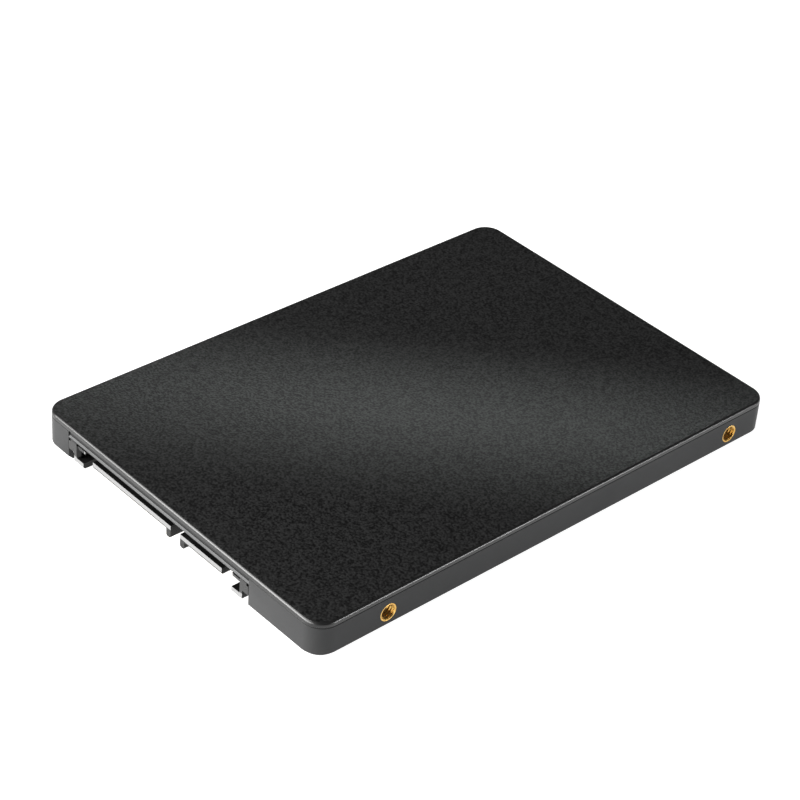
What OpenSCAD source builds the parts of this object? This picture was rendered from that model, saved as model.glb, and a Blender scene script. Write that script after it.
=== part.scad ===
// A 2.5-inch solid state drive of the 7 mm class, as the pieces it is assembled from.
// +Z is up, with the top cover on top. -Y is the connector end. The origin is in the
// middle of the underside, so the drive rests on Z = 0.

/* [Case] */
// Width of the drive
case_w = 69.85; // [69.6:0.05:70.1]
// Length of the drive, from the connector end to the rear end
case_l = 100; // [99.5:0.1:100.5]
// Height of the drive
case_h = 6.8; // [6.7:0.1:7]
// Radius of the four corners, seen from above
corner_r = 3.5; // [3.3:0.1:4]
// Radius of the cover's rounded top edge
top_edge_r = 0.5; // [0.3:0.05:0.6]
// Bevel round the underside
bottom_bevel = 0.8; // [0.3:0.05:0.85]
// Thickness of the side and rear walls
wall_t = 1.4; // [1.3:0.05:1.5]
// Thickness of the front wall, on both sides of the connector
front_wall_t = 0.9; // [0.8:0.05:1.1]
// Thickness of the floor
floor_t = 1; // [0.9:0.05:1.1]
// Height of the visible edge of the top cover
cover_edge_h = 0.95; // [0.85:0.05:1]
// Bevel on each side of the seam between cover and base
seam_bevel = 0.1; // [0.04:0.01:0.12]

/* [Connector window] */
// Middle of the connector, to the left of the middle of the drive
plug_x = -4.5; // [-4.9:0.1:-4.1]
// Width of the window for the connector
window_w = 46.6; // [46.4:0.1:46.8]
// Height of the window's upper edge above the underside
window_top = 4.65; // [4.6:0.01:4.75]
// How far the window is cut into the floor
window_depth = 5.5; // [5.3:0.1:5.6]
// How much wider the cut in the floor is on each side, behind the front wall
floor_cut_extra = 3; // [2:0.1:3.4]
// Depth of the groove that runs above the window
lip_groove = 0.25; // [0.15:0.05:0.3]

/* [Connector] */
// Width of the power tongue
power_w = 20.57; // [20.5:0.01:20.65]
// Width of the signal tongue
signal_w = 10.41; // [10.35:0.01:10.5]
// Gap between the two tongues
tongue_gap = 2.41; // [2.35:0.01:2.5]
// Thickness of a tongue
tongue_t = 1.23; // [1.18:0.01:1.28]
// Height of the tongues' upper face above the underside
tongue_top = 3.5; // [3.45:0.01:3.6]
// Length of a tongue in front of the housing
tongue_l = 4.9; // [4.8:0.05:5]
// Height of a tongue together with its key
key_h = 2.4; // [2.2:0.05:2.45]
// Width of a key
key_w = 1.1; // [1:0.05:1.15]
// Distance from one contact to the next
contact_pitch = 1.27; // [1.26:0.01:1.28]
// Width of a contact
contact_w = 0.84; // [0.8:0.01:0.86]
// Thickness of a contact
contact_t = 0.25; // [0.22:0.01:0.28]
// Width over the two guide arms
arms_w = 43.6; // [43.2:0.1:43.8]
// Thickness of a guide arm
arm_t = 1.2; // [1.1:0.05:1.25]
// Lead-in bevel on the inner edge of a guide arm
arm_lead = 0.55; // [0.3:0.05:0.6]

/* [Mounting holes] */
// From the connector end to the front holes
hole_front = 14; // [13.9:0.05:14.1]
// From the front holes to the rear holes
hole_pitch = 76.6; // [76.5:0.05:76.7]
// Distance between the holes underneath, across the drive
hole_across = 61.72; // [61.6:0.02:61.8]
// Height of the side holes above the underside
side_hole_z = 3; // [2.9:0.05:3.1]
// Radius of the threaded bore, at the crest of an M3 thread
thread_r = 1.25; // [1.2:0.01:1.28]
// Radius of the countersink at the mouth of an insert
mouth_r = 1.4; // [1.35:0.05:1.5]
// Radius of the neck of an insert, which is all that shows of it
neck_r = 1.6; // [1.55:0.05:1.7]
// Outer radius of a side insert
side_insert_r = 2.3; // [2.2:0.05:2.35]
// Length of a side insert
side_insert_l = 2.1; // [2:0.05:2.1]
// Outer radius of an insert underneath
bottom_insert_r = 1.9; // [1.8:0.05:1.9]
// Length of an insert underneath
bottom_insert_l = 2.5; // [2.4:0.05:2.5]

/* [Circuit board] */
// Width of the board
board_w = 62; // [61.6:0.1:62.4]
// Length of the board
board_l = 54.4; // [54:0.1:56]
// Thickness of the board
board_t = 1; // [0.8:0.1:1]
// Side of the controller's package
controller_w = 13; // [12:0.5:14]
// Width of a memory package
nand_w = 12; // [11.5:0.5:13]
// Length of a memory package
nand_l = 18; // [17:0.5:18]
// Thickness of a memory package
nand_t = 1; // [0.8:0.1:1.2]

/* [Label] */
// Width of the rating label
label_w = 52; // [48:1:52]
// Length of the rating label
label_l = 64; // [56:1:66]
// Thickness of the rating label
label_t = 0.1; // [0.08:0.01:0.12]

/* [Hidden] */
$fn = 48;
side_names = [for (i = [1:4]) str("side_insert_", i)];
bottom_names = [for (i = [1:4]) str("bottom_insert_", i)];
nand_names = [for (i = [1:4]) str("nand_chip_", i)];
inductor_names = [for (i = [1:3]) str("power_inductor_", i)];
bulk_names = [for (i = [1:2]) str("bulk_capacitor_", i)];

// Extra length that makes every cut pass through its face
cut = 1;
// Depth of one part sunk into another part of the same piece, so that they join
sink = 0.3;

half_w = case_w / 2;
half_l = case_l / 2;
// Height of the seam, which is also the cover's flat inner face
seam_z = case_h - cover_edge_h;
inner_half_w = half_w - wall_t;
inner_back = half_l - wall_t;
inner_front = -half_l + front_wall_t;
inner_r = corner_r - wall_t;

// Connector
window_x0 = plug_x - window_w / 2;
window_x1 = plug_x + window_w / 2;
window_back = -half_l + window_depth;
window_play = 0.05;
lip_h = 0.15;
// The front wall's foot stays this much thicker than the wall above the floor
wall_foot = 0.2;
plug_half_w = (power_w + tongue_gap + signal_w) / 2;
power_x0 = plug_x - plug_half_w;
power_x1 = power_x0 + power_w;
signal_x0 = power_x1 + tongue_gap;
signal_x1 = signal_x0 + signal_w;
tongue_front = -half_l + window_play;
tongue_lead = 0.25;
housing_front = tongue_front + tongue_l;
housing_depth = 2.7;
housing_back = housing_front + housing_depth;
housing_z0 = 1.3;
housing_z1 = window_top - window_play;
tongue_z0 = tongue_top - tongue_t;
key_z0 = tongue_top - key_h;
key_r = 0.35;
arm_x0 = plug_x - arms_w / 2;
arm_z0 = 0.6;
// The lower part of an arm ends just in front of the rear edge of the window
arm_back = window_back - 0.3;
foot_w = 2.6;
foot_h = 1.1;
foot_r = 0.5;
foot_lead = 0.3;
hook_w = 2.8;
hook_z0 = 3.6;
// Slot above a hook, beside the narrow front face of its arm
hook_slot_x = arm_t - arm_lead;
hook_slot_h = 0.5;
hook_slot_l = 1.2;
hook_set_back = 0.2;
// Ears that close the window's upper corners beside the arms
ear_x0 = window_x0 + 0.1;
ear_z0 = 2.5;
ear_depth = 0.9;
ear_notch = 0.45;
// The contacts lie in grooves and stand slightly proud of the tongue
contact_proud = 0.05;
contact_groove = contact_t - contact_proud;
contact_play = 0.03;
contact_lead_long = 0.7;
contact_lead_short = 1.2;
contact_tail = 1.5;
// The rows sit this far from the middle of their tongues, away from the keys
contact_shift = 0.3;
signal_pins = 7;
power_pins = 15;
// Pins that touch first when the drive is plugged in
signal_long = [0, 3, 6];
power_long = [3, 4, 5, 9, 11];

// Circuit board, which rests on the contacts' tails and on three posts
board_z0 = tongue_z0 + contact_groove;
board_z1 = board_z0 + board_t;
board_front = housing_back;
board_back = board_front + board_l;
boss_half_l = 3.2;
boss_in = 27.8;
boss_gap = 0.5;
boss_roof_gap = 0.05;
post_r = 2.2;
post_bore_r = 0.75;
screw_r = 0.8;
screw_play = 0.3;
screw_head_r = 1.9;
screw_head_h = 0.8;
screw_l = 2.2;
cross_l = 2.2;
cross_w = 0.4;
cross_h = 0.4;
post_places = [
    [24.4, -half_l + 11.6], [-28.2, board_back - 2.8], [28.2, board_back - 2.8]
];
// Board locks: straps from the housing over the board, each with a pin through it
lock_half_span = 20.2;
lock_w = 1.6;
lock_t = 0.3;
lock_grip = 0.9;
lock_reach = 1.8;
lock_pin_y = 1;
lock_pin_r = 0.45;
lock_pin_drop = 0.4;
lock_pin_play = 0.1;

// Threaded inserts: a neck at the surface, then a body that the plastic is moulded round
hole_ys = [-half_l + hole_front, -half_l + hole_front + hole_pitch];
insert_places = [for (x = [-1, 1]) for (y = hole_ys) [x, y]];
neck_l = 0.4;
insert_groove_z = 1;
insert_groove_w = 0.3;
insert_groove_h = 0.12;
// Room for the tip of a long screw beyond a bottom insert
tip_r = thread_r + 0.3;
tip_l = 0.7;

// Snap fastening of the cover: a skirt inside the walls with barbs on it
skirt_gap = 0.1;
skirt_t = 0.8;
skirt_h = 1.3;
barb_l = 6;
barb_t = 0.5;
barb_h = 0.35;
barb_z = seam_z - skirt_h + 0.35;
pocket_play = 0.1;
// Each run of skirt: angle of its wall, distance of the wall's inner face, half length, middle
skirt_runs = [
    [0, inner_half_w, 30, 2.3], [180, inner_half_w, 30, -2.3], [90, inner_back, 26, 0]
];
barb_offsets = [-16, 16];

rib_t = 1.2;
rib_h = 0.7;
rib_ys = [18, 26];

label_y = 8;
label_recess = 0.15;
label_play = 0.3;
label_r = 2;

controller_x = 3.5;
controller_y = -24.5;
controller_t = 1.1;
pad_w = 12;
nand_gap = 2.9;
nand_y = -1.8;
dram_x = -10.6;
dram_y = -24.5;
dram_size = [11, 11.5, 0.9];
rom_x = 20;
rom_y = -30;
rom_size = [3.9, 4.9, 1.5];
rom_lead_pitch = 1.27;
rom_lead_x = 2.4;
rom_lead_z = 0.25;
rom_lead_size = [1.2, 0.4, 0.5];
regulator_x = -22.5;
regulator_y = -34;
regulator_size = [5, 5, 0.9];
crystal_x = 13.2;
crystal_y = -19.5;
crystal_size = [2.5, 3.2, 0.8];
inductor_x = -28.4;
inductor_y = -24.5;
inductor_pitch = 4.7;
inductor_w = 4;
inductor_t = 1.8;
inductor_slot = [2.2, 0.5, 0.4];
bulk_x = 22.4;
bulk_y = -20;
bulk_pitch = 5.2;
bulk_size = [4.3, 7.3, 1.9];
capacitor_size = [0.8, 1.6, 0.8];
resistor_size = [1, 0.5, 0.35];

// Takes the corner at the origin off an outline that lies towards +X and +Y from it
module round_off(r) {
    difference() {
        translate([-cut, -cut]) square(r + cut);
        translate([r, r]) circle(r);
    }
}

module bevel_off(bevel) {
    polygon([[-cut, -cut], [-cut, bevel + cut], [bevel + cut, -cut]]);
}

// Outline of an edge, with bevels on its lower and upper corners and a round on the upper one
module edge_outline(half, z0, z1, low_bevel, high_bevel, round_r) {
    difference() {
        translate([0, z0]) square([half, z1 - z0]);
        translate([half, z0]) mirror([1, 0]) bevel_off(low_bevel);
        translate([half, z1]) rotate(180) {
            bevel_off(high_bevel);
            if (round_r > 0) round_off(round_r);
        }
    }
}

// The same outline on both sides of the middle
module slab_outline(half, z0, z1, low_bevel, high_bevel, round_r) {
    edge_outline(half, z0, z1, low_bevel, high_bevel, round_r);
    mirror([1, 0]) edge_outline(half, z0, z1, low_bevel, high_bevel, round_r);
}

// A slab with rounded corners whose edge follows edge_outline all the way round
module slab(z0, z1, low_bevel, high_bevel, round_r) {
    span_x = half_w - corner_r;
    span_y = half_l - corner_r;
    translate([-span_x, 0, 0]) rotate([90, 0, 90])
        linear_extrude(2 * span_x) slab_outline(half_l, z0, z1, low_bevel, high_bevel, round_r);
    translate([0, span_y, 0]) rotate([90, 0, 0])
        linear_extrude(2 * span_y) slab_outline(half_w, z0, z1, low_bevel, high_bevel, round_r);
    for (turn = [0:3]) {
        x = (turn == 0 || turn == 3) ? span_x : -span_x;
        y = (turn < 2) ? span_y : -span_y;
        translate([x, y, 0]) rotate(90 * turn) rotate_extrude(angle = 90)
            edge_outline(corner_r, z0, z1, low_bevel, high_bevel, round_r);
    }
}

// Block between two corners
module block(low, high) {
    translate(low) cube(high - low);
}

// Flat rectangle with round corners, from height z0 upwards
module rounded_plate(low, high, r, z0, h) {
    translate([0, 0, z0]) linear_extrude(h) {
        translate([low[0] + r, low[1]]) square([high[0] - low[0] - 2 * r, high[1] - low[1]]);
        translate([low[0], low[1] + r]) square([high[0] - low[0], high[1] - low[1] - 2 * r]);
        for (x = [low[0] + r, high[0] - r]) for (y = [low[1] + r, high[1] - r])
            translate([x, y]) circle(r);
    }
}

// The row of the front or rear holes on one side, so that +X is outwards there
module at_insert(i) {
    place = insert_places[i];
    translate([0, place[1], 0]) mirror([place[0] < 0 ? 1 : 0, 0, 0]) children();
}

// Where an insert's mouth is, with its body along +Z: in the side wall or underneath
module at_side_mouth() {
    translate([half_w, 0, side_hole_z]) rotate([0, -90, 0]) children();
}

module at_bottom_mouth() {
    translate([hole_across / 2, 0, 0]) children();
}

// Barb on a skirt, or with play the pocket that it snaps into
module barb(play) {
    translate([-sink, -barb_l / 2 - play, barb_z - play])
        cube([sink + barb_h + play, barb_l + 2 * play, barb_t + 2 * play]);
}

module base_shell() color("#4b4d50") difference() {
    union() {
        difference() {
            slab(0, seam_z, bottom_bevel, seam_bevel, 0);
            rounded_plate([-inner_half_w, inner_front], [inner_half_w, inner_back],
                inner_r, floor_t, case_h);
        }
        // Blocks round the threaded inserts
        for (i = [0:3]) at_insert(i)
            block([boss_in, -boss_half_l, floor_t - sink],
                [inner_half_w + sink, boss_half_l, seam_z - boss_roof_gap]);
        // Posts for the board
        for (place = post_places)
            translate([place[0], place[1], floor_t - sink])
                cylinder(r = post_r, h = board_z0 - floor_t + sink);
        // Ribs that stiffen the empty rear of the floor
        for (y = rib_ys)
            block([-inner_half_w - sink, y, floor_t - sink],
                [inner_half_w + sink, y + rib_t, floor_t + rib_h]);
    }
    // Window for the connector, open at the front and underneath
    block([window_x0, -half_l - cut, -cut], [window_x1, window_back, window_top]);
    block([window_x0 - floor_cut_extra, inner_front + wall_foot, -cut],
        [window_x1 + floor_cut_extra, window_back, floor_t + sink]);
    lip_groove_cut();
    for (i = [0:3]) at_insert(i) {
        at_side_mouth() insert_seat(side_insert_r, side_insert_l);
        at_bottom_mouth() insert_seat(bottom_insert_r, bottom_insert_l);
        at_bottom_mouth() cylinder(r = tip_r, h = bottom_insert_l + tip_l);
    }
    // Blind bores in the posts
    for (place = post_places)
        translate([place[0], place[1], floor_t]) cylinder(r = post_bore_r, h = case_h);
    // Pockets for the cover's barbs
    for (run = skirt_runs) for (offset = barb_offsets)
        rotate(run[0]) translate([run[1] - skirt_gap, run[3] + offset, 0]) barb(pocket_play);
    // Shallow recess for the rating label
    rounded_plate([-label_w / 2 - label_play, label_y - label_l / 2 - label_play],
        [label_w / 2 + label_play, label_y + label_l / 2 + label_play],
        label_r + label_play, -cut, cut + label_recess);
}

// Groove above the window; its lower side slopes forward to the lip
module lip_groove_cut() {
    groove_y = -half_l + lip_groove;
    lip_z = window_top + lip_h;
    translate([window_x0, 0, 0]) rotate([90, 0, 90]) linear_extrude(window_w)
        polygon([
            [-half_l - cut, lip_z - cut], [groove_y, lip_z + lip_groove],
            [groove_y, seam_z + cut], [-half_l - cut, seam_z + cut]
        ]);
}

module top_cover() color("#262728") {
    slab(seam_z, case_h, seam_bevel, 0, top_edge_r);
    for (run = skirt_runs) rotate(run[0]) {
        face = run[1] - skirt_gap;
        block([face - skirt_t, run[3] - run[2], seam_z - skirt_h],
            [face, run[3] + run[2], seam_z + sink]);
        for (offset = barb_offsets) translate([face, run[3] + offset, 0]) barb(0);
    }
}

module circuit_board() color("#1d5a3a") difference() {
    block([-board_w / 2, board_front, board_z0], [board_w / 2, board_back, board_z1]);
    // Notches round the blocks of the front inserts, which are the first of each side
    for (i = [0, 2]) at_insert(i)
        block([boss_in - boss_gap, -boss_half_l - boss_gap, board_z0 - cut],
            [board_w / 2 + cut, boss_half_l + boss_gap, board_z1 + cut]);
    for (place = post_places)
        translate([place[0], place[1], board_z0 - cut])
            cylinder(r = screw_r + screw_play, h = case_h);
    for (side = [-1, 1]) at_lock_pin(side) cylinder(r = lock_pin_r + lock_pin_play, h = case_h);
}

// Across the connector, the middle of pin number i in a row
function pin_x(x0, w, pins, shift, i) =
    x0 + w / 2 + shift + (i - (pins - 1) / 2) * contact_pitch;

function in_list(list, i) = len([for (n = list) if (n == i) n]) > 0;

// One row of contacts, or with play the grooves that they lie in
module contact_row(x0, w, pins, shift, long_pins, play) {
    for (i = [0:pins - 1]) {
        x = pin_x(x0, w, pins, shift, i);
        lead = in_list(long_pins, i) ? contact_lead_long : contact_lead_short;
        block([x - contact_w / 2 - play, tongue_front + lead - play, tongue_z0 - contact_proud - play],
            [x + contact_w / 2 + play, housing_back + contact_tail, board_z0]);
    }
}

module signal_row(play) {
    contact_row(signal_x0, signal_w, signal_pins, contact_shift, signal_long, play);
}

module power_row(play) {
    contact_row(power_x0, power_w, power_pins, -contact_shift, power_long, play);
}

module signal_contacts() color("#d8b25a") signal_row(0);

module power_contacts() color("#d8b25a") power_row(0);

// Prism along X that takes a lead-in bevel off a front lower edge
module lead_cut(x0, x1, y, z, lead) {
    translate([x0, y, z]) rotate([90, 0, 90]) linear_extrude(x1 - x0) bevel_off(lead);
}

// Tongue with a lead-in bevel, from the plug's front into its housing
module tongue(x0, x1) {
    difference() {
        block([x0, tongue_front, tongue_z0], [x1, housing_front + sink, tongue_top]);
        lead_cut(x0 - cut, x1 + cut, tongue_front, tongue_z0, tongue_lead);
    }
}

// Key with round lower corners that hangs from a tongue
module key(x0) {
    translate([x0, housing_front + sink, key_z0]) rotate([90, 0, 0])
        linear_extrude(tongue_l + sink) difference() {
            square([key_w, key_h]);
            round_off(key_r);
            translate([key_w, 0]) mirror([1, 0]) round_off(key_r);
        }
}

// Plate of a guide arm, with a lead-in bevel on its inner front edge
module arm_plate(z0, z1, back) {
    translate([arm_x0, 0, z0]) linear_extrude(z1 - z0) difference() {
        translate([0, -half_l]) square([arm_t, back + half_l]);
        translate([arm_t, -half_l]) mirror([1, 0]) bevel_off(arm_lead);
    }
}

// Foot of a guide arm: its outer lower corner is round
module arm_foot() {
    difference() {
        translate([arm_x0, arm_back, arm_z0]) rotate([90, 0, 0])
            linear_extrude(arm_back + half_l) difference() {
                square([foot_w, foot_h]);
                round_off(foot_r);
            }
        lead_cut(arm_x0 - cut, arm_x0 + foot_w + cut, -half_l, arm_z0, foot_lead);
    }
}

// One end of the connector, on the left: guide arm with foot, hook and ear
module guide_arm() {
    difference() {
        arm_plate(housing_z0, housing_z1, housing_back);
        block([arm_x0 + hook_slot_x, -half_l - cut, housing_z1 - hook_slot_h],
            [arm_x0 + arm_t + cut, -half_l + hook_slot_l, housing_z1 + cut]);
    }
    arm_plate(arm_z0 + foot_r, housing_z0 + sink, arm_back);
    arm_foot();
    block([arm_x0, -half_l + hook_set_back, hook_z0],
        [arm_x0 + hook_w, housing_back, housing_z1 - hook_slot_h]);
    block([ear_x0, -half_l, ear_z0], [arm_x0 + sink, -half_l + ear_depth, housing_z1 - ear_notch]);
    block([ear_x0 + ear_notch, -half_l, ear_z0], [arm_x0 + sink, -half_l + ear_depth, housing_z1]);
}

module sata_plug_housing() color("#141414") difference() {
    union() {
        block([arm_x0, housing_front, housing_z0], [arm_x0 + arms_w, housing_back, housing_z1]);
        tongue(power_x0, power_x1);
        tongue(signal_x0, signal_x1);
        key(power_x1 - key_w);
        key(signal_x0);
        guide_arm();
        translate([2 * plug_x, 0, 0]) mirror([1, 0, 0]) guide_arm();
    }
    signal_row(contact_play);
    power_row(contact_play);
    lock_straps(contact_play);
}

// Straps of the board locks, or with play the slots that they are pressed into
module lock_straps(play) {
    for (side = [-1, 1]) {
        x = plug_x + side * lock_half_span;
        block([x - lock_w / 2 - play, housing_back - lock_grip, board_z1 - play],
            [x + lock_w / 2 + play, board_front + lock_reach, board_z1 + lock_t + play]);
    }
}

// The lower end of a lock's pin
module at_lock_pin(side) {
    translate([plug_x + side * lock_half_span, board_front + lock_pin_y, board_z0 - lock_pin_drop])
        children();
}

module plug_board_locks() color("#c8c8c8") {
    lock_straps(0);
    for (side = [-1, 1])
        at_lock_pin(side) cylinder(r = lock_pin_r, h = lock_pin_drop + board_t + lock_t);
}

// Flat package on the board, by the middle of its footprint
module package(x, y, size) {
    translate([x - size[0] / 2, y - size[1] / 2, board_z1]) cube(size);
}

module controller_chip() color("#222222")
    package(controller_x, controller_y, [controller_w, controller_w, controller_t]);

module controller_thermal_pad() color("#8fa3b8")
    translate([0, 0, controller_t])
        package(controller_x, controller_y, [pad_w, pad_w, seam_z - board_z1 - controller_t]);

module nand_chip(i) color("#1c1c1c")
    package((i - 2.5) * (nand_w + nand_gap), nand_y, [nand_w, nand_l, nand_t]);

module dram_chip() color("#202020") package(dram_x, dram_y, dram_size);

module flash_rom() color("#1f1f1f") {
    package(rom_x, rom_y, rom_size);
    // Four leads on each side
    for (side = [-1, 1]) for (i = [0:3])
        translate([rom_x + side * rom_lead_x, rom_y + (i - 1.5) * rom_lead_pitch, board_z1 + rom_lead_z])
            cube(rom_lead_size, center = true);
}

module power_regulator() color("#242424") package(regulator_x, regulator_y, regulator_size);

module crystal_oscillator() color("#c9c9c4") package(crystal_x, crystal_y, crystal_size);

module power_inductor(i) color("#3a3a3c") {
    x = inductor_x + inductor_pitch * (i - 1);
    difference() {
        package(x, inductor_y, [inductor_w, inductor_w, inductor_t]);
        // Slots at both ends where the winding comes out
        for (side = [-1, 1]) package(x, inductor_y + side * inductor_w / 2, inductor_slot);
    }
}

module bulk_capacitor(i) color("#c58b2b")
    package(bulk_x + bulk_pitch * (i - 1), bulk_y, bulk_size);

// A line of small two-ended parts; step is the way from one to the next
module part_line(start, step, count, size) {
    for (i = [0:count - 1])
        package(start[0] + step[0] * i, start[1] + step[1] * i, size);
}

module ceramic_capacitors() color("#b89a72") {
    part_line([-28.6, -14.4], [1.9, 0], 8, capacitor_size);
    part_line([6, -14.4], [1.9, 0], 5, capacitor_size);
    part_line([-22, 9.4], [2.4, 0], 8, capacitor_size);
    part_line([-18.6, -37], [1.9, 0], 6, capacitor_size);
}

module chip_resistors() color("#2e3133") {
    part_line([12.6, -31], [0, 1.2], 6, resistor_size);
    part_line([14.8, -31], [0, 1.2], 6, resistor_size);
    part_line([0, -37], [2, 0], 8, resistor_size);
    part_line([2, 9.4], [2.4, 0], 8, resistor_size);
}

module board_screws() color("#b5b7ba")
    for (place = post_places) translate([place[0], place[1], board_z1]) difference() {
        union() {
            cylinder(r = screw_head_r, h = screw_head_h);
            translate([0, 0, -screw_l]) cylinder(r = post_bore_r, h = screw_l + sink);
        }
        // Crosshead
        for (turn = [0, 90]) rotate(turn)
            translate([-cross_l / 2, -cross_w / 2, screw_head_h - cross_h]) cube([cross_l, cross_w, cut]);
    }

// Threaded insert with its mouth on Z = 0 and its body above it
module insert(r, l) {
    mouth_depth = mouth_r - thread_r;
    difference() {
        union() {
            cylinder(r = neck_r, h = l);
            translate([0, 0, neck_l]) cylinder(r = r - insert_groove_h, h = l - neck_l);
            translate([0, 0, neck_l]) cylinder(r = r, h = insert_groove_z - neck_l);
            translate([0, 0, insert_groove_z + insert_groove_w])
                cylinder(r = r, h = l - insert_groove_z - insert_groove_w);
        }
        translate([0, 0, -cut]) cylinder(r = thread_r, h = l + 2 * cut);
        translate([0, 0, -mouth_depth])
            cylinder(r1 = mouth_r + mouth_depth, r2 = thread_r, h = 2 * mouth_depth);
    }
}

// Seat of the same insert in the base
module insert_seat(r, l) {
    translate([0, 0, -cut]) cylinder(r = neck_r, h = cut + neck_l + sink);
    translate([0, 0, neck_l]) cylinder(r = r, h = l - neck_l);
}

module side_insert(i) color("#c99a3c")
    at_insert(i - 1) at_side_mouth() insert(side_insert_r, side_insert_l);

module bottom_insert(i) color("#c99a3c")
    at_insert(i - 1) at_bottom_mouth() insert(bottom_insert_r, bottom_insert_l);

module rating_label() color("#e9e9e6")
    rounded_plate([-label_w / 2, label_y - label_l / 2], [label_w / 2, label_y + label_l / 2],
        label_r, label_recess - label_t, label_t);

base_shell();
top_cover();
circuit_board();
sata_plug_housing();
signal_contacts();
power_contacts();
plug_board_locks();
controller_chip();
controller_thermal_pad();
dram_chip();
flash_rom();
power_regulator();
crystal_oscillator();
ceramic_capacitors();
chip_resistors();
board_screws();
rating_label();
for (i = [1:4]) side_insert(i);
for (i = [1:4]) bottom_insert(i);
for (i = [1:4]) nand_chip(i);
for (i = [1:3]) power_inductor(i);
for (i = [1:2]) bulk_capacitor(i);
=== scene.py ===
import math
from collections import namedtuple

import bmesh
import bpy
from mathutils import Matrix, Vector


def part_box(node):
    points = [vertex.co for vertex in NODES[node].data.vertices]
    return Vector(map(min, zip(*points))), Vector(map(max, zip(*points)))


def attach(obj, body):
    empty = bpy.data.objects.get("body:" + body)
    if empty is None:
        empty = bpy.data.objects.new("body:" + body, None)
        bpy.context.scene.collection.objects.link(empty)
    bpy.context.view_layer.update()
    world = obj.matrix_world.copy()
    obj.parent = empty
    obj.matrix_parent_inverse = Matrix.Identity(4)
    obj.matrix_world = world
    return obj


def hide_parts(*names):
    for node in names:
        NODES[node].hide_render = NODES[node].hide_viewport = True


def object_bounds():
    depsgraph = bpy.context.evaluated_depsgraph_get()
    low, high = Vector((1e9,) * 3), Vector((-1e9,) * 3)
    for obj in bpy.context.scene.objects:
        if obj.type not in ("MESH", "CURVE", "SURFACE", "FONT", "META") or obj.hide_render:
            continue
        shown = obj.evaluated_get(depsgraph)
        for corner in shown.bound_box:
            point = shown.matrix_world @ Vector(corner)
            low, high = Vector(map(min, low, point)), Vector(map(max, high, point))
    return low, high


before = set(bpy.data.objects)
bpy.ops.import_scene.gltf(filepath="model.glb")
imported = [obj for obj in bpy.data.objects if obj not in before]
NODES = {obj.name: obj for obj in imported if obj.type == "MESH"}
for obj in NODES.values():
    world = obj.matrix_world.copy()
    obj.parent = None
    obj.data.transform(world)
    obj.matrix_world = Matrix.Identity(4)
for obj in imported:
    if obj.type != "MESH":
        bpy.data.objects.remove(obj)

CAD_LOW, CAD_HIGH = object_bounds()
MM = 0.001

# ---------------------------------------------------------------- camera
CAMERA_AZIMUTH = 45.67      # degrees round the drive from its connector end towards +X
CAMERA_ELEVATION = 35.14    # degrees above the floor
CAMERA_ROLL = 4.73          # degrees, the drive turned clockwise in the picture
CAMERA_DISTANCE = 403.5 * MM
CAMERA_TARGET = Vector((-5.40, 2.11, 3.0)) * MM
SENSOR = 36.0               # mm
LENS = 107.35               # mm

# ---------------------------------------------------------------- lights
# towards points from the aim to the lamp; aim is in millimetres, distance, width and height in
# metres, beam is the angle of the light's cone in degrees, radiance in watts per m2 and steradian
Lamp = namedtuple("Lamp", "towards aim distance width height beam radiance colour")
CASE_MIDDLE = (0.0, 0.0, 3.0)
WARM, COOL, GREENISH = (1.0, 0.995, 0.985), (0.99, 0.995, 1.0), (0.94, 1.0, 0.97)
LAMPS = {
    # Draws the highlight along the cover's front edge
    "front_box": Lamp((-0.50, -0.63, 0.59), CASE_MIDDLE, 0.80, 0.34, 0.90, 180.0, 11.2, WARM),
    # Lights the front wall
    "front_fill": Lamp((-0.25, -0.93, 0.27), CASE_MIDDLE, 0.80, 0.80, 0.50, 180.0, 14.0, WARM),
    # Lights the right wall and draws the highlight along the cover's right edge
    "side_strip": Lamp((0.855, 0.500, 0.125), CASE_MIDDLE, 0.90, 0.40, 0.08, 180.0, 60.0, COOL),
    # Narrow beam that draws the soft band across the cover
    "band": Lamp((-0.563, 0.593, 0.576), (12.0, 6.5, 6.8), 0.40, 0.26, 0.004, 4.1, 0.48, GREENISH),
}
WORLD_COLOUR = (0.10, 0.10, 0.102, 1.0)
FLOOR_GLOW = 0.95
FLOOR_DARK, FLOOR_LIGHT = 0.40, 0.42
FLOOR_SIZE = 6.0            # m
FLOOR_GAP = 0.02 * MM       # between the case and the floor

# ---------------------------------------------------------------- colours and small shapes
CASE_DARK = (0.0265, 0.0268, 0.0272)
CASE_LIGHT = (0.0320, 0.0323, 0.0327)
# Painted highlight on the slope of the lip over the window
LIP_PAINTED_HIGHLIGHT = (0.075, 0.076, 0.077)
# Painted shade in the groove over the window and along the seam
PAINTED_SHADE_DARK = (0.008, 0.008, 0.008)

# Places on the case and the plug in millimetres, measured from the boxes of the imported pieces
BASE_LOW, BASE_HIGH = (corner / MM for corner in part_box("base_shell"))
PLUG_LOW, PLUG_HIGH = (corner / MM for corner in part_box("sata_plug_housing"))
LABEL_LOW, LABEL_HIGH = (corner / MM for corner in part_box("rating_label"))
FRONT_Y = BASE_LOW.y
SEAM_LOW = BASE_HIGH.z - 0.25                       # below the bevels of the seam
PLUG_X = (PLUG_LOW.x + PLUG_HIGH.x) / 2
ARM_X = (PLUG_HIGH.x - PLUG_LOW.x) / 2 - 4.0        # inside of the arms, from the plug's middle
FOOT_TOP = PLUG_LOW.z + 1.15                        # top of the arms' feet
NOSE_LOW = PLUG_LOW.z + 2.06                        # foot of the tongues' polished noses
WINDOW_TOP = PLUG_HIGH.z + 0.05
GROOVE_LOW = WINDOW_TOP + 0.4                       # foot of the groove over the window
FRAME_INSET, FRAME_HALF_W = 2.2, 0.15               # frame line on the label

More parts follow.
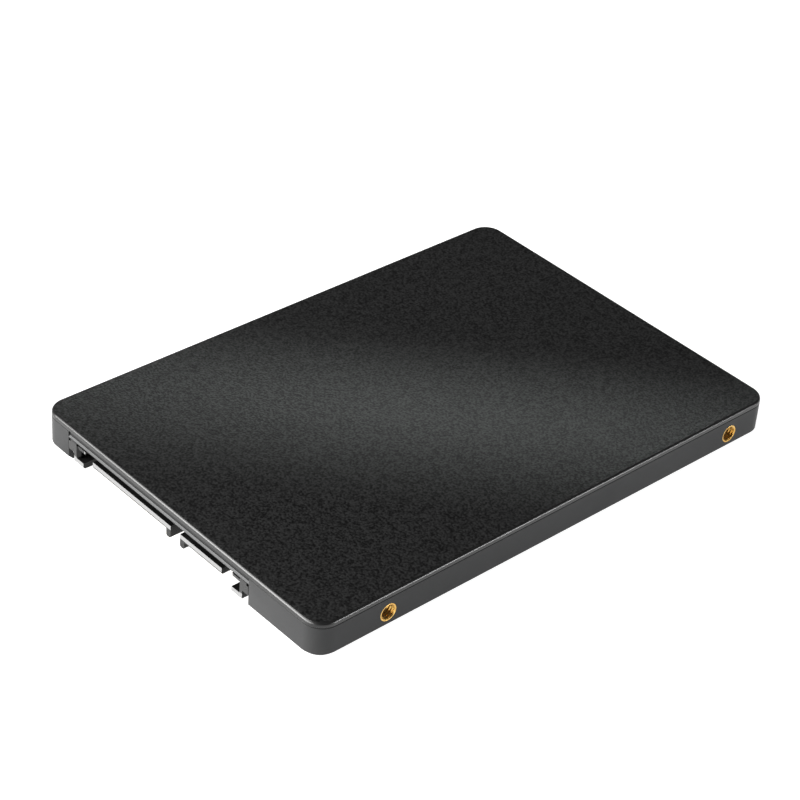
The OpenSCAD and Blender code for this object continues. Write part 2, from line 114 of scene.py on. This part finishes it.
# Threaded inserts, in millimetres: thread crest, root and pitch, mouth, neck, knurl, groove, edges
BORE_R, ROOT_R, PITCH = 1.25, 1.5, 0.5
FLANK = 0.42                                        # width of a thread's flank, in pitches
MOUTH_R, NECK_R, NECK_L = 1.4, 1.6, 0.4
KNURL_TEETH, KNURL_DEPTH = 36, 0.12
GROOVE_Z, GROOVE_W = 1.0, 0.3
INSERT_EDGE = 0.06
INSERT_SIDES, THREAD_STEPS = 72, 8                  # points round a ring, rings in a turn

# Rounded copies of CAD pieces: width of the round and the shortest edge that gets one (mm)
CASE_ROUND, CASE_LEAST = 0.05, 0.6
PLUG_ROUND, PLUG_LEAST = 0.07, 0.5
SHARP_ANGLE, FLAT_ANGLE = 50.0, 0.4                 # degrees: edges to round, edges to dissolve
SMOOTH_ANGLE, THREAD_SMOOTH_ANGLE = 28.0, 32.0      # degrees: edges that shade smooth
MERGE_DISTANCE = 0.0005 * MM


# ================================================================ material helpers
class Shader:
    """A new material with one Principled shader, and short calls that add nodes to it."""

    def __init__(self, name, colour, roughness, metallic=0.0, specular=0.5):
        self.material = bpy.data.materials.new(name)
        self.material.use_nodes = True
        self.tree = self.material.node_tree
        self.shader = self.tree.nodes["Principled BSDF"]
        self.set("Base Color", (*colour, 1.0))
        self.set("Roughness", roughness)
        self.set("Metallic", metallic)
        self.set("Specular IOR Level", specular)
        self.material.diffuse_color = (*colour, 1.0)

    def set(self, socket, value):
        self.shader.inputs[socket].default_value = value

    def add(self, kind, **values):
        node = self.tree.nodes.new(kind)
        for key, value in values.items():
            setattr(node, key, value)
        return node

    def link(self, out, into):
        self.tree.links.new(out, into)

    def place(self, stretch=(1.0, 1.0, 1.0)):
        """The point on the object in millimetres, each axis multiplied by stretch."""
        source = self.add("ShaderNodeTexCoord")
        mapping = self.add("ShaderNodeMapping")
        mapping.inputs["Scale"].default_value = [share / MM for share in stretch]
        self.link(source.outputs["Object"], mapping.inputs["Vector"])
        return mapping.outputs["Vector"]

    def parts(self, vector):
        """The X, Y and Z outputs of a vector."""
        node = self.add("ShaderNodeSeparateXYZ")
        self.link(vector, node.inputs["Vector"])
        return node.outputs

    def facing(self):
        """The X, Y and Z outputs of the way that the face looks."""
        return self.parts(self.add("ShaderNodeNewGeometry").outputs["True Normal"])

    def noise(self, where, scale, detail=2.0):
        """Noise with about scale features in a millimetre."""
        node = self.add("ShaderNodeTexNoise")
        node.inputs["Scale"].default_value = scale
        node.inputs["Detail"].default_value = detail
        node.inputs["Roughness"].default_value = 0.5
        self.link(where, node.inputs["Vector"])
        return node.outputs["Fac"]

    def spread(self, value, low, high, from_low=0.3, from_high=0.7):
        """Takes a value between from_low and from_high to one between low and high."""
        node = self.add("ShaderNodeMapRange")
        node.inputs["From Min"].default_value = from_low
        node.inputs["From Max"].default_value = from_high
        node.inputs["To Min"].default_value = low
        node.inputs["To Max"].default_value = high
        self.link(value, node.inputs["Value"])
        return node.outputs["Result"]

    def blend(self, factor, first, second):
        """Colour first where factor is 0, second where it is 1. Each is a colour or an output."""
        node = self.add("ShaderNodeMix", data_type="RGBA")
        self.link(factor, node.inputs["Factor"])
        for socket, colour in ((node.inputs["A"], first), (node.inputs["B"], second)):
            if isinstance(colour, tuple):
                socket.default_value = (*colour, 1.0)
            else:
                self.link(colour, socket)
        return node.outputs["Result"]

    def math(self, operation, first, second):
        """The result of an operation on outputs or numbers."""
        node = self.add("ShaderNodeMath", operation=operation)
        for socket, value in zip(node.inputs, (first, second)):
            if isinstance(value, (int, float)):
                socket.default_value = value
            else:
                self.link(value, socket)
        return node.outputs["Value"]

    def product(self, first, *others):
        """The product of outputs or numbers."""
        for other in others:
            first = self.math("MULTIPLY", first, other)
        return first

    def colour(self, output):
        self.link(output, self.shader.inputs["Base Color"])

    def roughness(self, output):
        self.link(output, self.shader.inputs["Roughness"])

    def bump(self, height, depth_mm):
        """Relief of depth_mm where height goes from 0 to 1."""
        node = self.add("ShaderNodeBump")
        node.inputs["Strength"].default_value = 1.0
        node.inputs["Distance"].default_value = depth_mm * MM
        self.link(height, node.inputs["Height"])
        self.link(node.outputs["Normal"], self.shader.inputs["Normal"])


# ================================================================ materials
def plastic_tone(s, where):
    """Colour output of the case's dark grey plastic, a little cloudy."""
    cloud = s.noise(where, 0.06, 3.0)
    return s.blend(s.spread(cloud, 0.0, 1.0), CASE_DARK, CASE_LIGHT)


def cover_material():
    """Near black with a fine grain on the flat top, and smooth on the rounded edge."""
    s = Shader("grained_charcoal", (0.006, 0.006, 0.006), 0.46, specular=0.5)
    where = s.place()
    tone = s.math("ADD", s.product(s.noise(where, 2.6), 0.8), s.product(s.noise(where, 0.9), 0.2))
    speck = s.spread(tone, 0.0, 1.0, 0.38, 0.62)
    # The grain ends where the surface turns away from level
    upward = s.facing()["Z"]
    flat = s.spread(upward, 0.0, 1.0, 0.97, 0.995)
    grained = s.blend(speck, (0.0002, 0.0002, 0.0002), (0.0100, 0.0102, 0.0102))
    cloud = s.spread(s.noise(where, 0.06, 3.0), 0.0, 1.0)
    smooth = s.blend(cloud, (0.004, 0.004, 0.004), (0.007, 0.007, 0.007))
    s.colour(s.blend(flat, smooth, grained))
    # Pits in the grain reflect less than its crests, and the seam's bevel less than the edge
    sheen = s.blend(speck, (0.40, 0.40, 0.40), (1.0, 1.0, 1.0))
    seam = s.spread(upward, 1.0, 0.0, -0.4, -0.1)
    edge = s.blend(seam, (0.86, 0.86, 0.86), (0.45, 0.45, 0.45))
    s.link(s.blend(flat, edge, sheen), s.shader.inputs["Specular Tint"])
    s.roughness(s.spread(flat, 0.31, 0.47, 0.0, 1.0))
    s.bump(s.product(tone, flat), 0.09)
    return s.material


def base_material():
    """Satin dark grey plastic with a very fine moulded surface and faint handling marks."""
    s = Shader("satin_dark_grey", CASE_LIGHT, 0.40, specular=0.06)
    where = s.place()
    at = s.parts(where)
    facing = s.facing()
    upward = s.spread(facing["Z"], 0.0, 1.0, 0.3, 0.5)
    forward = s.spread(facing["Y"], 1.0, 0.0, -0.9999, -0.999)
    # The lip over the window is coloured lighter, a painted highlight; the groove behind it and the
    # seam are coloured darker, painted shade
    over_window = s.spread(at["Z"], 0.0, 1.0, WINDOW_TOP - 0.05, WINDOW_TOP)
    below_seam = s.spread(at["Z"], 1.0, 0.0, SEAM_LOW - 0.05, SEAM_LOW)
    lip = s.product(upward, over_window, below_seam)
    seam = s.product(upward, s.spread(below_seam, 0.5, 0.0, 0.0, 1.0))
    behind = s.spread(at["Y"], 0.0, 1.0, FRONT_Y + 0.05, FRONT_Y + 0.1)
    low_down = s.spread(at["Z"], 1.0, 0.4, GROOVE_LOW + 0.1, GROOVE_LOW + 0.4)
    groove = s.product(forward, over_window, behind, low_down)
    # Painted highlight: the lip's upward slope takes the lighter colour
    lip_highlighted = s.blend(lip, plastic_tone(s, where), LIP_PAINTED_HIGHLIGHT)
    # Painted shade in the groove and at the seam, darkest low in the groove
    s.colour(s.blend(s.math("MAXIMUM", groove, seam), lip_highlighted, PAINTED_SHADE_DARK))
    s.roughness(s.spread(s.noise(where, 0.35, 4.0), 0.34, 0.44))
    s.bump(s.noise(where, 7.0, 2.0), 0.006)
    return s.material


def connector_material():
    """Black engineering plastic with faint flow lines, polished on the faces at the front."""
    s = Shader("connector_black", (0.010, 0.010, 0.011), 0.30, specular=0.15)
    s.set("Coat Roughness", 0.08)
    s.set("Coat IOR", 4.0)
    where = s.place()
    flow = s.noise(s.place((0.4, 0.4, 2.5)), 1.2, 3.0)
    s.roughness(s.spread(flow, 0.24, 0.36))
    s.colour(s.blend(s.spread(flow, 0.0, 1.0), (0.003, 0.003, 0.003), (0.006, 0.006, 0.006)))
    s.bump(flow, 0.002)
    # Polished where the surface looks forward: the tongues' noses and the arms' feet fully,
    # the rest of the arms less, the keys hardly
    forward = s.spread(s.facing()["Y"], 1.0, 0.0, -0.95, -0.60)
    at = s.parts(where)
    beside = s.math("ABSOLUTE", s.math("SUBTRACT", at["X"], PLUG_X), 0.0)
    arm = s.spread(beside, 0.0, 1.0, ARM_X, ARM_X + 0.1)
    foot = s.spread(at["Z"], 1.0, 0.12, FOOT_TOP, FOOT_TOP + 0.2)
    nose = s.spread(at["Z"], 0.05, 1.0, NOSE_LOW, NOSE_LOW + 0.06)
    polish = s.add("ShaderNodeMix")
    s.link(arm, polish.inputs["Factor"])
    s.link(nose, polish.inputs["A"])
    s.link(foot, polish.inputs["B"])
    # Seen aslant it shines, seen straight on it is black plastic
    slant = s.spread(s.add("ShaderNodeLayerWeight").outputs["Facing"], 0.08, 1.0, 0.12, 0.40)
    s.link(s.product(forward, slant, polish.outputs["Result"]), s.shader.inputs["Coat Weight"])
    return s.material


def brass_material():
    """Turned brass with fine tool marks and slight tarnish."""
    s = Shader("turned_brass", (0.80, 0.56, 0.20), 0.24, metallic=1.0)
    where = s.place()
    tarnish = s.noise(where, 0.9, 4.0)
    s.colour(s.blend(s.spread(tarnish, 0.0, 1.0), (0.80, 0.53, 0.17), (0.52, 0.27, 0.05)))
    marks = s.noise(s.place((6.0, 1.0, 1.0)), 3.0, 3.0)
    s.roughness(s.spread(marks, 0.18, 0.34))
    s.bump(marks, 0.004)
    return s.material


def plated_material(name, colour, roughness, scratch_scale):
    """Plated metal with a faint streaky finish."""
    s = Shader(name, colour, roughness, metallic=1.0)
    streak = s.noise(s.place((scratch_scale, 1.0, 1.0)), 2.0, 3.0)
    darker = tuple(c * 0.78 for c in colour)
    s.colour(s.blend(s.spread(streak, 0.0, 1.0), darker, colour))
    s.roughness(s.spread(streak, roughness * 0.8, roughness * 1.3))
    s.bump(streak, 0.003)
    return s.material


def board_material():
    """Green solder mask over a pattern of copper tracks."""
    s = Shader("solder_mask", (0.015, 0.10, 0.05), 0.34, specular=0.6)
    where = s.place()
    tracks = s.add("ShaderNodeTexBrick")
    tracks.inputs["Scale"].default_value = 0.42
    tracks.inputs["Mortar Size"].default_value = 0.06
    tracks.inputs["Color1"].default_value = (0.010, 0.085, 0.042, 1.0)
    tracks.inputs["Color2"].default_value = (0.012, 0.100, 0.050, 1.0)
    tracks.inputs["Mortar"].default_value = (0.030, 0.150, 0.075, 1.0)
    s.link(where, tracks.inputs["Vector"])
    patches = s.spread(s.noise(where, 0.5), 0.0, 0.4)
    s.colour(s.blend(patches, tracks.outputs["Color"], (0.008, 0.07, 0.035)))
    s.roughness(s.spread(s.noise(where, 1.5), 0.28, 0.42))
    s.bump(tracks.outputs["Fac"], 0.02)
    return s.material


def moulded_material(name, colour, roughness, grain, depth):
    """Moulded or fired body: small grain, slight colour variation."""
    s = Shader(name, colour, roughness)
    where = s.place()
    value = s.noise(where, grain, 3.0)
    lighter = tuple(min(1.0, c * 1.35 + 0.003) for c in colour)
    s.colour(s.blend(s.spread(value, 0.0, 1.0), colour, lighter))
    s.roughness(s.spread(value, roughness * 0.85, min(1.0, roughness * 1.15)))
    s.bump(value, depth)
    return s.material


def label_material():
    """Blank satin film with a thin grey frame line near its edge."""
    s = Shader("label_film", (0.78, 0.78, 0.76), 0.5)
    where = s.place()
    at = s.parts(where)
    middle = (LABEL_LOW + LABEL_HIGH) / 2
    half = (LABEL_HIGH - LABEL_LOW) / 2
    x = s.math("ABSOLUTE", s.math("SUBTRACT", at["X"], middle.x), 0.0)
    y = s.math("ABSOLUTE", s.math("SUBTRACT", at["Y"], middle.y), 0.0)
    inset = s.math("MINIMUM", s.math("SUBTRACT", half.x, x), s.math("SUBTRACT", half.y, y))
    line = s.math("COMPARE", inset, FRAME_INSET)
    tolerance = line.node.inputs[2]
    tolerance.default_value = FRAME_HALF_W
    fibre = s.noise(where, 3.0, 3.0)
    paper = s.blend(s.spread(fibre, 0.0, 1.0), (0.74, 0.74, 0.72), (0.82, 0.82, 0.80))
    s.colour(s.blend(line, paper, (0.30, 0.31, 0.32)))
    s.roughness(s.spread(fibre, 0.42, 0.58))
    s.bump(fibre, 0.008)
    return s.material


def floor_material():
    """Plain pale studio floor."""
    s = Shader("pale_floor", (FLOOR_LIGHT,) * 3, 0.65, specular=0.2)
    s.set("Emission Color", (1.0, 1.0, 1.0, 1.0))
    s.set("Emission Strength", FLOOR_GLOW)
    value = s.noise(s.place(), 0.004, 2.0)
    s.colour(s.blend(s.spread(value, 0.0, 1.0), (FLOOR_DARK,) * 3, (FLOOR_LIGHT,) * 3))
    return s.material


# ================================================================ mesh helpers
def add_piece(name, mesh, material, node, body="root"):
    """An object with one material that stands for a CAD node and rides on a body."""
    piece = bpy.data.objects.new(name, mesh)
    bpy.context.scene.collection.objects.link(piece)
    mesh.materials.clear()
    mesh.materials.append(material)
    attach(piece, body)
    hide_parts(node)
    return piece


def paint(node, material):
    """Gives a CAD node its material."""
    for holder in NODES[node].material_slots:
        holder.material = material


def smooth_by_angle(mesh, degrees):
    """Smooth shading with sharp edges where faces meet at more than an angle."""
    limit = math.radians(degrees)
    bm = bmesh.new()
    bm.from_mesh(mesh)
    for face in bm.faces:
        face.smooth = True
    for edge in bm.edges:
        edge.smooth = len(edge.link_faces) == 2 and edge.calc_face_angle(math.pi) < limit
    bm.to_mesh(mesh)
    bm.free()


def refined(name, node, material, width, least_length):
    """A copy of a CAD node with its sharp outer edges rounded, which then stands for the node.

    width is the round's width and least_length the shortest edge that gets one, in millimetres.
    """
    bm = bmesh.new()
    bm.from_mesh(NODES[node].data)
    bmesh.ops.remove_doubles(bm, verts=bm.verts, dist=MERGE_DISTANCE)
    flat = math.radians(FLAT_ANGLE)
    bmesh.ops.dissolve_limit(bm, angle_limit=flat, verts=bm.verts, edges=bm.edges)
    limit = math.radians(SHARP_ANGLE)
    sharp = [
        e for e in bm.edges
        if e.is_manifold and e.is_convex and e.calc_face_angle() > limit
        and e.calc_length() > least_length * MM
    ]
    bmesh.ops.bevel(bm, geom=sharp, offset=width * MM, offset_type="OFFSET", segments=2,
                    profile=0.5, affect="EDGES", clamp_overlap=True, harden_normals=False)
    bmesh.ops.triangulate(bm, faces=[f for f in bm.faces if len(f.verts) > 4])
    mesh = bpy.data.meshes.new(name)
    bm.to_mesh(mesh)
    bm.free()
    smooth_by_angle(mesh, SMOOTH_ANGLE)
    return add_piece(name, mesh, material, node)


def even_shading(piece):
    """Keeps large flat faces evenly shaded beside their rounded edges."""
    even = piece.modifiers.new("even_shading", "WEIGHTED_NORMAL")
    even.keep_sharp = True
    even.weight = 100


def insert_mesh(name, length, body_r):
    """A threaded insert with its mouth at Z = 0 and its body along +Z, all in millimetres.

    The bore carries a helical V thread, and the body outside a straight knurl.
    """
    step = PITCH / THREAD_STEPS
    edge = INSERT_EDGE
    bm = bmesh.new()

    def ring(z, radius):
        """A ring of vertices; radius is a function of the angle's share of a turn."""
        made = []
        for i in range(INSERT_SIDES):
            share = i / INSERT_SIDES
            r = radius(share)
            turn = 2 * math.pi * share
            made.append(bm.verts.new((r * math.cos(turn) * MM, r * math.sin(turn) * MM, z * MM)))
        return made

    def thread(z):
        """Radius of the bore at a height: a V thread that the mouth opens with a cone."""
        def radius(share):
            phase = (z / PITCH - share) % 1.0
            depth = max(0.0, 1.0 - abs(phase - 0.5) / FLANK)
            return max(BORE_R + (ROOT_R - BORE_R) * depth, MOUTH_R - z)
        return radius

    def knurl(share):
        """Radius of the body where it has straight teeth."""
        return body_r - KNURL_DEPTH * abs(2 * ((share * KNURL_TEETH) % 1.0) - 1)

    def plain(r):
        return lambda share: r

    low_r = body_r - KNURL_DEPTH
    groove_end = GROOVE_Z + GROOVE_W
    outline = [
        (length, plain(BORE_R)), (length, plain(low_r - edge)), (length - edge, plain(low_r)),
        (length - 2 * edge, knurl), (groove_end, knurl), (groove_end, plain(low_r)),
        (GROOVE_Z, plain(low_r)), (GROOVE_Z, knurl), (NECK_L + edge, knurl), (NECK_L, plain(low_r)),
        (NECK_L, plain(NECK_R)), (edge, plain(NECK_R)), (edge / 3, plain(NECK_R - edge / 3)),
        (0.0, plain(NECK_R - edge)), (0.0, plain(MOUTH_R + edge)), (edge / 3, plain(MOUTH_R)),
    ]
    rings = [ring(z, radius) for z, radius in outline]
    z = edge
    while z < length - step / 2:
        rings.append(ring(z, thread(z)))
        z += step
    rings.append(rings[0])
    for first, second in zip(rings, rings[1:]):
        for i in range(INSERT_SIDES):
            j = (i + 1) % INSERT_SIDES
            bm.faces.new((first[i], first[j], second[j], second[i]))
    bmesh.ops.recalc_face_normals(bm, faces=bm.faces)
    mesh = bpy.data.meshes.new(name)
    bm.to_mesh(mesh)
    bm.free()
    smooth_by_angle(mesh, THREAD_SMOOTH_ANGLE)
    return mesh


# ================================================================ pieces
def build_inserts(material):
    """Threaded brass inserts where the CAD has plain bushes."""
    for kind in ("side", "bottom"):
        for number in range(1, 5):
            node = f"{kind}_insert_{number}"
            low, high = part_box(node)
            size = high - low
            middle = (low + high) / 2
            if kind == "side":
                sign = 1 if middle.x > 0 else -1
                length, body_r = size.x / MM, size.z / 2 / MM
                turn = Matrix.Rotation(-sign * math.pi / 2, 4, "Y")
                mouth = Vector((high.x if sign > 0 else low.x, middle.y, middle.z))
            else:
                length, body_r = size.z / MM, size.x / 2 / MM
                turn = Matrix.Identity(4)
                mouth = Vector((middle.x, middle.y, low.z))
            name = f"{kind}_thread_{number}"
            mesh = insert_mesh(name, length, body_r)
            mesh.transform(Matrix.Translation(mouth) @ turn)
            add_piece(name, mesh, material, node)


def build_floor():
    """A pale square just under the case."""
    mesh = bpy.data.meshes.new("floor")
    half = FLOOR_SIZE / 2
    corners = [(-half, -half, 0), (half, -half, 0), (half, half, 0), (-half, half, 0)]
    mesh.from_pydata(corners, [], [(0, 1, 2, 3)])
    mesh.materials.append(floor_material())
    floor = bpy.data.objects.new("floor", mesh)
    floor.location.z = CAD_LOW.z - FLOOR_GAP
    bpy.context.scene.collection.objects.link(floor)


def build_lights():
    """The area lamps and a dim even surround."""
    for name, lamp in LAMPS.items():
        light = bpy.data.lights.new(name, "AREA")
        light.shape = "RECTANGLE"
        light.size = lamp.width
        light.size_y = lamp.height
        light.energy = lamp.radiance * math.pi * lamp.width * lamp.height
        light.spread = math.radians(lamp.beam)
        light.color = lamp.colour
        holder = bpy.data.objects.new(name, light)
        towards = Vector(lamp.towards).normalized()
        holder.location = Vector(lamp.aim) * MM + towards * lamp.distance
        holder.rotation_euler = towards.to_track_quat("Z", "Y").to_euler()
        holder.visible_camera = False
        bpy.context.scene.collection.objects.link(holder)
    world = bpy.data.worlds.new("studio")
    world.use_nodes = True
    world.node_tree.nodes["Background"].inputs["Color"].default_value = WORLD_COLOUR
    bpy.context.scene.world = world


def build_camera():
    """The camera, turned about its own axis by the roll."""
    azimuth = math.radians(CAMERA_AZIMUTH)
    elevation = math.radians(CAMERA_ELEVATION)
    roll = math.radians(CAMERA_ROLL)
    back = Vector((math.sin(azimuth) * math.cos(elevation),
                   -math.cos(azimuth) * math.cos(elevation), math.sin(elevation)))
    level = Vector((math.cos(azimuth), math.sin(azimuth), 0.0))
    upright = back.cross(level)
    right = level * math.cos(roll) + upright * math.sin(roll)
    up = upright * math.cos(roll) - level * math.sin(roll)
    lens = bpy.data.cameras.new("camera")
    lens.sensor_width = SENSOR
    lens.lens = LENS
    lens.clip_start = 0.01
    lens.clip_end = 20.0
    camera = bpy.data.objects.new("camera", lens)
    turn = Matrix((right, up, back)).transposed().to_4x4()
    camera.matrix_world = Matrix.Translation(CAMERA_TARGET + back * CAMERA_DISTANCE) @ turn
    bpy.context.scene.collection.objects.link(camera)
    bpy.context.scene.camera = camera


def paint_inside():
    """Materials of the pieces inside the case, and of the contacts and the label."""
    resin = moulded_material("chip_resin", (0.016, 0.016, 0.017), 0.55, 3.0, 0.01)
    gold = plated_material("contact_gold", (0.83, 0.60, 0.24), 0.22, 3.0)
    tin = plated_material("tinned_metal", (0.66, 0.66, 0.64), 0.30, 3.0)
    steel = plated_material("screw_steel", (0.56, 0.57, 0.58), 0.28, 3.0)
    tantalum = moulded_material("tantalum_case", (0.46, 0.24, 0.04), 0.45, 2.0, 0.008)
    ferrite = moulded_material("inductor_ferrite", (0.045, 0.045, 0.048), 0.6, 2.5, 0.012)
    pad = moulded_material("thermal_pad", (0.24, 0.32, 0.42), 0.8, 1.2, 0.02)
    ceramic = moulded_material("capacitor_ceramic", (0.38, 0.26, 0.15), 0.4, 2.0, 0.01)
    film = moulded_material("resistor_ceramic", (0.03, 0.03, 0.035), 0.4, 2.0, 0.01)
    looks = {
        "circuit_board": board_material(),
        "signal_contacts": gold,
        "power_contacts": gold,
        "plug_board_locks": tin,
        "crystal_oscillator": tin,
        "controller_chip": resin,
        "dram_chip": resin,
        "flash_rom": resin,
        "power_regulator": resin,
        "controller_thermal_pad": pad,
        "ceramic_capacitors": ceramic,
        "chip_resistors": film,
        "board_screws": steel,
        "rating_label": label_material(),
    }
    looks.update({f"nand_chip_{i}": resin for i in range(1, 5)})
    looks.update({f"power_inductor_{i}": ferrite for i in range(1, 4)})
    looks.update({f"bulk_capacitor_{i}": tantalum for i in range(1, 3)})
    for node, material in looks.items():
        paint(node, material)


refined("case_cover", "top_cover", cover_material(), CASE_ROUND, CASE_LEAST)
refined("case_base", "base_shell", base_material(), CASE_ROUND, CASE_LEAST)
plug = refined("plug_housing", "sata_plug_housing", connector_material(), PLUG_ROUND, PLUG_LEAST)
even_shading(plug)
build_inserts(brass_material())
paint_inside()
build_floor()
build_lights()
build_camera()
bpy.context.scene.view_settings.view_transform = "Standard"
